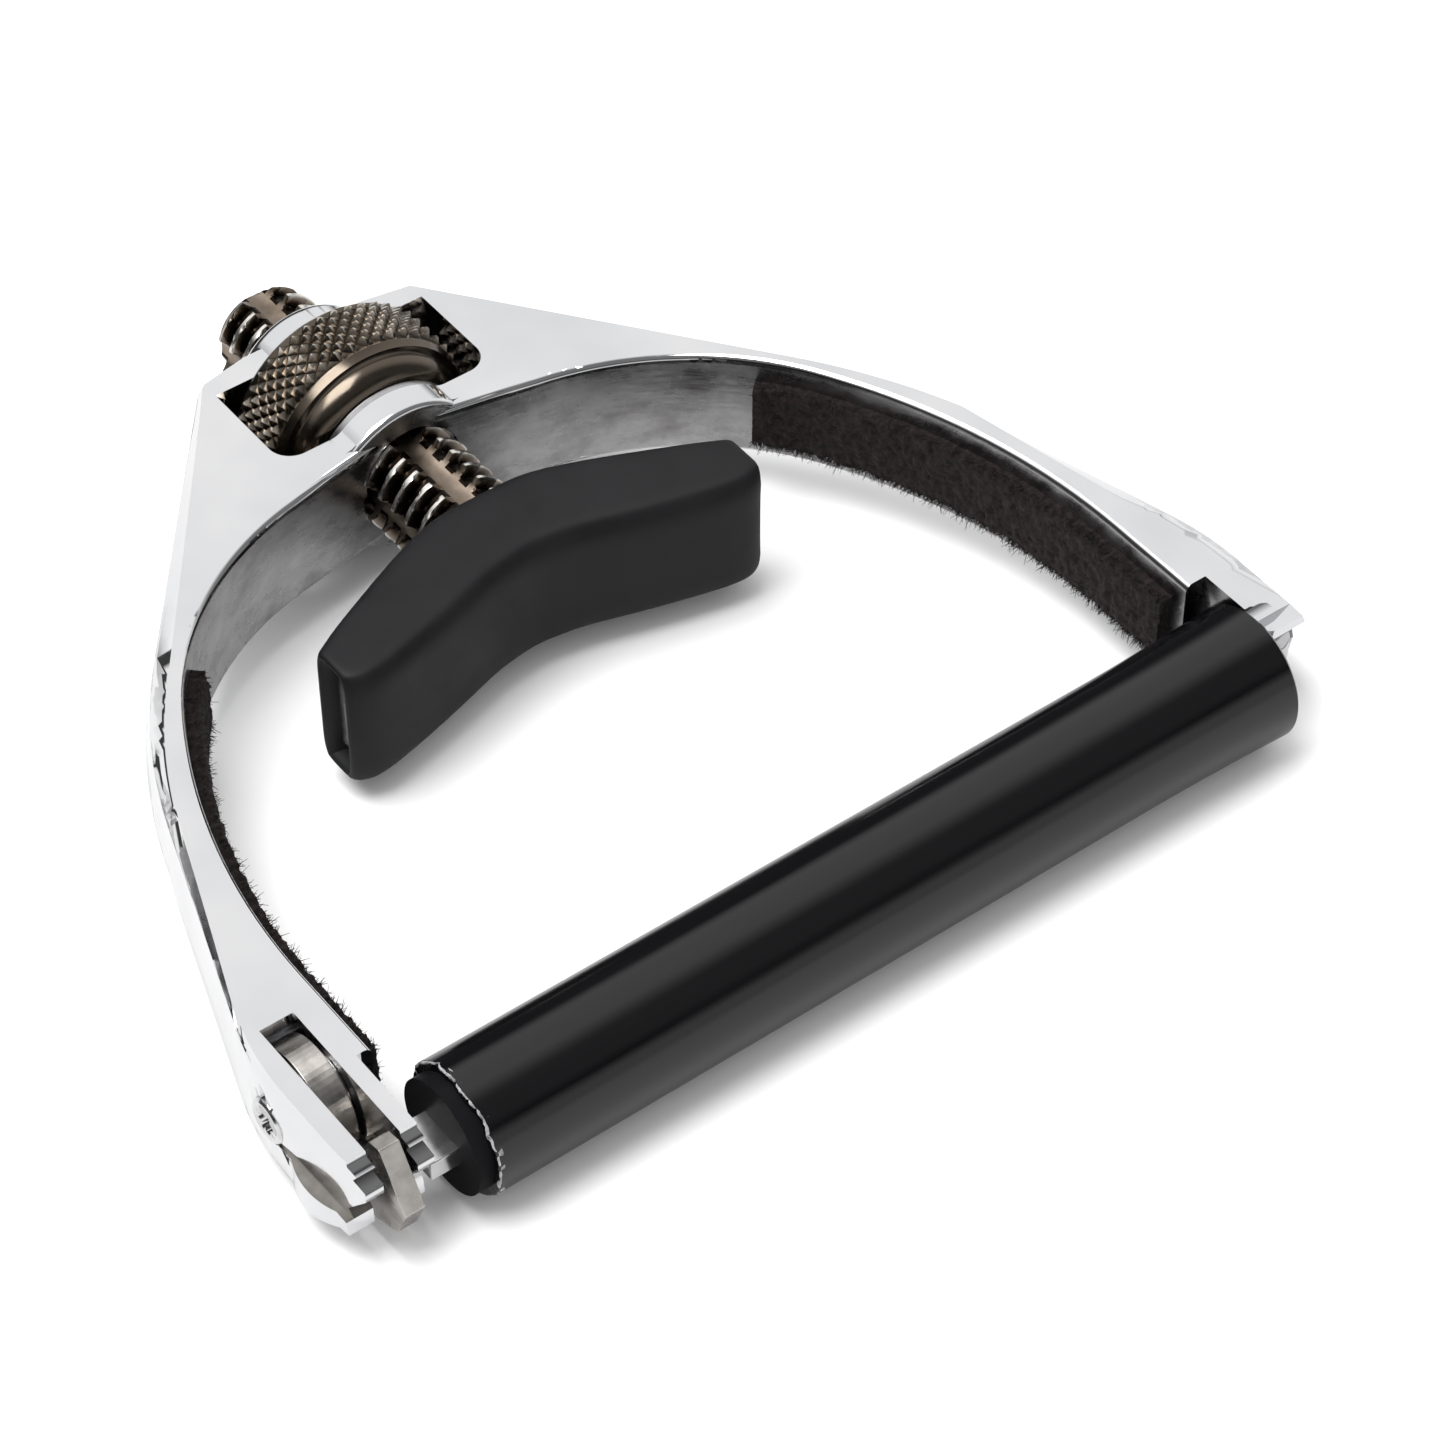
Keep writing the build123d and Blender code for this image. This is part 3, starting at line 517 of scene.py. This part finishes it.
def extruded_sleeve():
    """Outer sleeve, slightly flared at the hinge end, its left end cut roughly with a pale torn edge."""
    low, high = node_box("bar_sleeve")
    tube_r, outer_r, lip, flare = 4.1, 4.75, 0.12, 12
    shape = bmesh.new()
    points = [(low.x, tube_r), (low.x, outer_r - lip), (low.x + lip, outer_r)]
    points += [(low.x + lip + (high.x - flare - low.x) * i / 6, outer_r) for i in range(1, 7)]
    points += [(high.x - flare + i, outer_r + (high.y - outer_r) * (i / flare) ** 2) for i in range(2, flare)]
    points += [(high.x - 0.25, high.y - 0.03), (high.x, high.y - 0.3), (high.x, tube_r)]
    verts = [shape.verts.new((x, r, 0)) for x, r in points]
    for one, two in zip(verts, verts[1:] + verts[:1]):
        shape.edges.new((one, two))
    bmesh.ops.spin(
        shape, geom=shape.verts[:] + shape.edges[:], cent=(0, 0, 0), axis=(1, 0, 0), angle=2 * pi, steps=128,
        use_merge=True,
    )
    for vert in shape.verts:
        if vert.co.x < low.x + 0.3:
            angle = atan2(vert.co.z, vert.co.y)
            wave = noise.noise(Vector((cos(angle) * 2.5, sin(angle) * 2.5, 1.7)))
            vert.co.x += 0.22 + 0.22 * wave + 0.1 * noise.noise(Vector((cos(angle) * 14, sin(angle) * 14, 0.4)))
    return shaped_piece("bar_sleeve_looks", shape, "string_bar", SLEEVE, ["bar_sleeve"], 40)


def torn_sleeve_edge():
    """Pale ragged lip left where the sleeve was cut by hand."""
    low, limit = node_box("bar_sleeve")[0], 4.74
    shape = bmesh.new()
    bmesh.ops.create_circle(
        shape, cap_ends=False, radius=0.2, segments=8, matrix=Matrix.Translation((low.x + 0.42, 4.66, 0))
    )
    bmesh.ops.spin(
        shape, geom=shape.verts[:] + shape.edges[:], cent=(0, 0, 0), axis=(1, 0, 0), angle=2 * pi, steps=220,
        use_merge=True,
    )
    for vert in shape.verts:
        angle = atan2(vert.co.z, vert.co.y)
        wave = noise.noise(Vector((cos(angle) * 2.5, sin(angle) * 2.5, 1.7)))
        rough = noise.noise(Vector((cos(angle) * 9, sin(angle) * 9, vert.co.x * 2)))
        fine = noise.noise(Vector((cos(angle) * 30, sin(angle) * 30, vert.co.x * 3)))
        vert.co.x += 0.22 * wave + 0.18 * rough + 0.08 * fine
        radius = hypot(vert.co.y, vert.co.z)
        grow = min(1.0, (limit + 0.05 * rough) / radius) if radius > limit else 1.0 + 0.006 * fine
        vert.co.y *= grow
        vert.co.z *= grow
    return shaped_piece("bar_sleeve_torn_edge", shape, "string_bar", TORN_VINYL, (), 80)


# ---------------------------------------------------------------- suede liners
def liner_path(length, y0):
    """Point and inward direction on the right inner wall, at a length from the liner's lower end."""
    turn = radians(LOW_ARC_TURN)
    straight = LOW_ARC_CENTRE[1] - y0
    if length < straight:
        return (WALL_X, y0 + length), (-1.0, 0.0)
    angle = (length - straight) / LOW_ARC_R
    centre, radius = LOW_ARC_CENTRE, LOW_ARC_R
    if angle > turn:
        angle = turn + (length - straight - turn * LOW_ARC_R) / HIGH_ARC_R
        centre, radius = HIGH_ARC_CENTRE, HIGH_ARC_R
    return (centre[0] + radius * cos(angle), centre[1] + radius * sin(angle)), (-cos(angle), -sin(angle))


def suede_liner(side, seed):
    """Glued suede strip along the arm's inner wall, with a napped face and loose fibres at its edges."""
    node = "liner_right" if side > 0 else "liner_left"
    low, high = node_box(node)
    y0, half_wide, thick, short = low.y, high.z, 1.1, 0.05
    low_arc = LOW_ARC_R * radians(LOW_ARC_TURN)
    length = (LOW_ARC_CENTRE[1] - y0) + low_arc + HIGH_ARC_R * radians(LINER_TOP - LOW_ARC_TURN) - short
    shape = bmesh.new()
    along, across = 230, 24
    bmesh.ops.create_grid(shape, x_segments=along, y_segments=across, size=0.5)
    bmesh.ops.solidify(shape, geom=shape.faces[:], thickness=-1.0)
    for vert in shape.verts:
        share, wide, deep = vert.co.x + 0.5, vert.co.y, abs(vert.co.z)
        (px, py), (nx, ny) = liner_path(share * length, y0)
        spot = Vector((share * length, wide * 2 * half_wide, side * 5.0 + seed))
        nap = noise.noise(spot * 1.1) * 0.2 + noise.noise(spot * 3.0) * 0.16 + noise.noise(spot * 7.0) * 0.08
        uneven = noise.noise(spot * 1.7 + Vector((9, 0, 0))) * 0.22 + noise.noise(spot * 5.0) * 0.2
        ragged = uneven * abs(wide) * 2
        edge = 1 - 0.1 * max(0.0, abs(wide) * 2 - 0.85) / 0.15
        depth = deep * (thick * edge + nap) if deep > 0.5 else 0.0
        z = wide * 2 * (half_wide - 0.22) + (ragged if deep > 0.5 else ragged * 0.4) * (1 if wide > 0 else -1)
        vert.co = Vector((side * (px + nx * depth), py + ny * depth, z))
    random.seed(seed)
    tuft = bmesh.new()
    for fibre in range(FIBRES_A_LINER):
        if fibre % 60 == 59:
            part = bpy.data.meshes.new("tuft")
            tuft.to_mesh(part)
            shape.from_mesh(part)
            bpy.data.meshes.remove(part)
            tuft.clear()
        # The first draw places nothing, and the later ones depend on it
        _, share, kind = [random.random() for _ in range(3)]
        (px, py), (nx, ny) = liner_path(share * length, y0)
        tx, ty = ny, -nx
        if kind < 0.5:
            z, lean_z = -half_wide + random.uniform(0.0, 0.5), random.uniform(-1.0, 0.1)
            depth = random.uniform(0.4, 0.95)
        elif kind < 0.62:
            z, lean_z = half_wide - random.uniform(0.0, 0.4), random.uniform(-0.2, 0.7)
            depth = random.uniform(0.4, 0.9)
        elif kind < 0.66:
            (px, py), (nx, ny) = liner_path(random.uniform(0, 0.6), y0)
            tx, ty = ny, -nx
            z, lean_z = random.uniform(-half_wide, half_wide), random.uniform(-0.5, 0.5)
            depth = random.uniform(0.3, 0.95)
        else:
            z, lean_z = random.uniform(-half_wide, half_wide), random.uniform(-0.7, 0.4)
            depth = 0.8
        reach = random.uniform(0.3, 0.7) if random.random() < 0.88 else random.uniform(0.7, 1.1)
        lean_n, lean_t = random.uniform(0.3, 1.0), random.uniform(-0.9, 0.9)
        aim = Vector((side * (nx * lean_n + tx * lean_t), ny * lean_n + ty * lean_t, lean_z)).normalized()
        base = Vector((side * (px + nx * depth), py + ny * depth, z))
        if abs(z + aim.z * reach) > 4.2 or base.y + aim.y * reach < y0 - 0.7:
            continue
        turn = aim.to_track_quat("Z", "Y").to_matrix().to_4x4()
        bmesh.ops.create_cone(
            tuft, cap_ends=True, cap_tris=True, segments=3, radius1=0.038, radius2=0.012, depth=reach,
            matrix=Matrix.Translation(base + aim * reach * 0.45) @ turn,
        )
    tuft.free()
    return shaped_piece(node + "_looks", shape, "yoke", SUEDE, [node], 60)


# ---------------------------------------------------------------- machined pieces
def flatten_shoulder(shape):
    """Flattens the left arm's outer shoulder between seam and fork, which makes a dark mirror band."""
    line, raise_by = 3.3, 0.85
    top, top_fade, foot, foot_fade = 36, 5, 7, 6
    for vert in shape.verts:
        x, y, z = vert.co / MM
        away = Vector((x, y - 25, 0)).normalized()
        outward = [face for face in vert.link_faces if face.normal.dot(away) > 0.35]
        if abs(abs(z) - line) > 0.06 or len(outward) < 2:
            continue
        share = min(1.0, max(0.0, (top - y) / top_fade)) * min(1.0, max(0.0, (y - foot) / foot_fade))
        vert.co.z += (1 if z > 0 else -1) * raise_by * share * MM


def ground_frame_part(node):
    """A frame part: polished outside, and left as cast on the inner wall, greyed with painted reflected shade;
    the ledge top is painted dark as shade.
    """
    shape = bmesh.new()
    shape.from_mesh(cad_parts[node].data)
    bmesh.ops.remove_doubles(shape, verts=shape.verts, dist=1e-6)
    bmesh.ops.dissolve_limit(shape, angle_limit=radians(0.2), verts=shape.verts, edges=shape.edges)
    if node == "yoke_arm_left":
        flatten_shoulder(shape)
    mesh = bpy.data.meshes.new(node + "_looks")
    shape.to_mesh(mesh)
    shape.free()
    mesh.shade_smooth()
    mesh.set_sharp_from_angle(angle=radians(24))
    piece = new_object(node + "_looks", mesh, "yoke", STEEL, [node])
    shade_evenly(piece)
    mesh.materials.append(SATIN_WALL_WITH_SHADE)
    mesh.materials.append(LEDGE_PAINTED_SHADE)
    arc_x, arc_y = HIGH_ARC_CENTRE
    near_arc, arms_y, wall_top, facing = HIGH_ARC_R + 2, 40, 51.5, 0.35
    ledge_x, ledge_y, ledge_z = -37.8, 9, -2.0
    for face in mesh.polygons:
        middle, normal = face.center / MM, face.normal
        inward = Vector((-middle.x, 20 - middle.y, 0)).normalized()
        inside = hypot(abs(middle.x) - arc_x, middle.y - arc_y) < near_arc or middle.y < arms_y
        # Inner wall faces take the satin finish, with its painted reflected shade
        if abs(normal.z) < facing and normal.dot(inward) > facing and inside and middle.y < wall_top:
            face.material_index = 1
        # The ledge's upward face is painted dark as shade
        if middle.x < ledge_x and middle.y < ledge_y and ledge_z < middle.z < 0 and normal.z > 0.5:
            face.material_index = 2


def finish_hidden(node, material):
    """Puts a finish on a CAD node that stays as it is."""
    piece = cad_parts[node]
    if not piece.material_slots:
        piece.data.materials.append(material)
    for place in piece.material_slots:
        place.link = "OBJECT"
        place.material = material


knurled_thumbwheel()
threaded_adjusting_screw()
moulded_boot()
extruded_sleeve()
torn_sleeve_edge()
suede_liner(1, 11)
suede_liner(-1, 23)
for part in ("yoke_head", "yoke_arm_left", "yoke_arm_right"):
    ground_frame_part(part)
for node, body, finish, slot, edge in [
    ("bar_tube", "string_bar", TUBE_RUBBER, "matte_rubber", 0.0),
    ("bar_core", "string_bar", BRIGHT_STEEL, "bright_steel", 0.1),
    ("latch_lever", "latch", LATCH_STEEL, "latch_steel", 0.15),
    ("latch_screw", "yoke", BRIGHT_STEEL, "bright_steel", 0.0),
    ("saddle", "saddle_slide", BRIGHT_STEEL, "bright_steel", 0.1),
]:
    piece = machined_copy(node, node + "_looks", body, finish, edge)
    if node == "saddle":
        for vert in piece.data.vertices:
            if vert.co.x < -15 * MM:
                vert.co.x -= 0.3 * MM
                vert.co.y += (33.6 * MM - vert.co.y) * 0.35
for node in (
    "thrust_washer_front", "thrust_washer_rear", "guide_keys", "hinge_pin", "latch_shims", "saddle_screw",
):
    finish_hidden(node, PIN_STEEL)


# ---------------------------------------------------------------- floor, light and camera
def white_floor():
    """A white sweep that touches the wheel's rim and the sleeve, as the capo rests on them."""
    wheel_low, wheel_high = node_box("thumbwheel")
    sleeve_low, sleeve_high = node_box("bar_sleeve")
    wheel_y = (wheel_low.y + wheel_high.y) / 2
    sleeve_y = (sleeve_low.y + sleeve_high.y) / 2
    tilt = atan2(wheel_low.z - sleeve_low.z, wheel_y - sleeve_y)
    shape = bmesh.new()
    bmesh.ops.create_grid(shape, x_segments=1, y_segments=1, size=3000)
    bmesh.ops.rotate(shape, verts=shape.verts, matrix=Matrix.Rotation(tilt, 3, "X"))
    bmesh.ops.translate(shape, verts=shape.verts, vec=(0, sleeve_y, sleeve_low.z - 0.02))
    bmesh.ops.scale(shape, vec=(MM, MM, MM), verts=shape.verts)
    mesh = bpy.data.meshes.new("floor")
    shape.to_mesh(mesh)
    shape.free()
    ground = bpy.data.objects.new("floor", mesh)
    bpy.context.scene.collection.objects.link(ground)
    material, tree, shader, _ = new_finish("white_paper", {"Roughness": 0.8, "Specular IOR Level": 0.1})
    # Metal sees the floor greyer than the camera does: painted shade in the reflected floor
    ray = add_node(tree, "ShaderNodeLightPath")
    stops = [(0.0, linear("#F7F7F7")), (1.0, linear("#D2D2D2"))]
    lay_surface(tree, shader, colour=((ray, "Is Glossy Ray"), stops))
    mesh.materials.append(material)


def studio_surroundings():
    """An even white tent: polished metal sees a bright back and top, and darker low sides and front."""
    world = bpy.data.worlds.new("studio")
    bpy.context.scene.world = world
    world.use_nodes = True
    tree = world.node_tree
    tree.nodes.clear()
    output = add_node(tree, "ShaderNodeOutputWorld")
    place = add_node(tree, "ShaderNodeTexCoord")
    axes = add_node(tree, "ShaderNodeSeparateXYZ", links={"Vector": (place, "Generated")})
    brightness = {}
    for part, axis, values in [
        ("lift", "X", (0.45, 0.85, 0.0, 0.6)),
        ("back", "Y", (-0.25, 0.1, 0.2, 1.0)),
        ("near", "Y", (-0.6, -0.85, 0.0, 0.75)),
        ("low", "Z", (0.45, 0.25, 0.0, 1.0)),
    ]:
        inputs = dict(zip(SPAN, values))
        node = add_node(tree, "ShaderNodeMapRange", inputs=inputs, links={"Value": (axes, axis)})
        brightness[part] = (node, "Result")
    links = {0: (axes, "Z"), 1: brightness["lift"]}
    level = add_node(tree, "ShaderNodeMath", {"operation": "ADD"}, links=links)
    values = dict(zip(SPAN, (0.44, 0.62, 0.05, 1.0)))
    height = add_node(tree, "ShaderNodeMapRange", inputs=values, links={"Value": (level, "Value")})
    links = {0: (height, "Result"), 1: brightness["back"]}
    behind = add_node(tree, "ShaderNodeMath", {"operation": "MULTIPLY"}, links=links)
    links = {0: brightness["near"], 1: brightness["low"]}
    card = add_node(tree, "ShaderNodeMath", {"operation": "MULTIPLY"}, links=links)
    links = {0: (behind, "Value"), 1: (card, "Value")}
    seen = add_node(tree, "ShaderNodeMath", {"operation": "MAXIMUM"}, links=links)
    white = (1, 1, 1, 1)
    even = add_node(tree, "ShaderNodeBackground", inputs={"Color": white, "Strength": 0.85})
    links = {"Strength": (seen, "Value")}
    mirrored = add_node(tree, "ShaderNodeBackground", inputs={"Color": white}, links=links)
    ray = add_node(tree, "ShaderNodeLightPath")
    links = {0: (ray, "Is Glossy Ray"), 1: (even, "Background"), 2: (mirrored, "Background")}
    add_node(tree, "ShaderNodeMixShader", links=links, feeds={"Shader": (output, "Surface")})


def soft_light(name, place_mm, target_mm, size_mm, power):
    """A large square softbox aimed at a point."""
    lamp = bpy.data.lights.new(name, "AREA")
    lamp.shape = "SQUARE"
    lamp.size = size_mm * MM
    lamp.energy = power
    holder = bpy.data.objects.new(name, lamp)
    bpy.context.scene.collection.objects.link(holder)
    aim = Vector(target_mm) - Vector(place_mm)
    turn = aim.to_track_quat("-Z", "Y").to_matrix().to_4x4()
    holder.matrix_world = Matrix.Translation(Vector(place_mm) * MM) @ turn


def studio_camera():
    """A long lens in front of the capo and above it, on the latch's side."""
    lens = bpy.data.cameras.new("camera")
    lens.sensor_width = 36.0
    lens.lens = 111.26
    lens.clip_start = 0.01
    holder = bpy.data.objects.new("camera", lens)
    bpy.context.scene.collection.objects.link(holder)
    azimuth, elevation = radians(-37.11), radians(46.59)
    ahead = Vector((-sin(azimuth) * cos(elevation), cos(azimuth) * cos(elevation), -sin(elevation)))
    place = Vector((-121.0, -146.44, 217.5)) * MM
    holder.matrix_world = Matrix.Translation(place) @ ahead.to_track_quat("-Z", "Y").to_matrix().to_4x4()
    bpy.context.scene.camera = holder


white_floor()
studio_surroundings()
soft_light("top_softbox", (-150, 100, 500), (0, 25, 0), 350, 3.0)
studio_camera()
bpy.context.scene.view_settings.view_transform = "Standard"
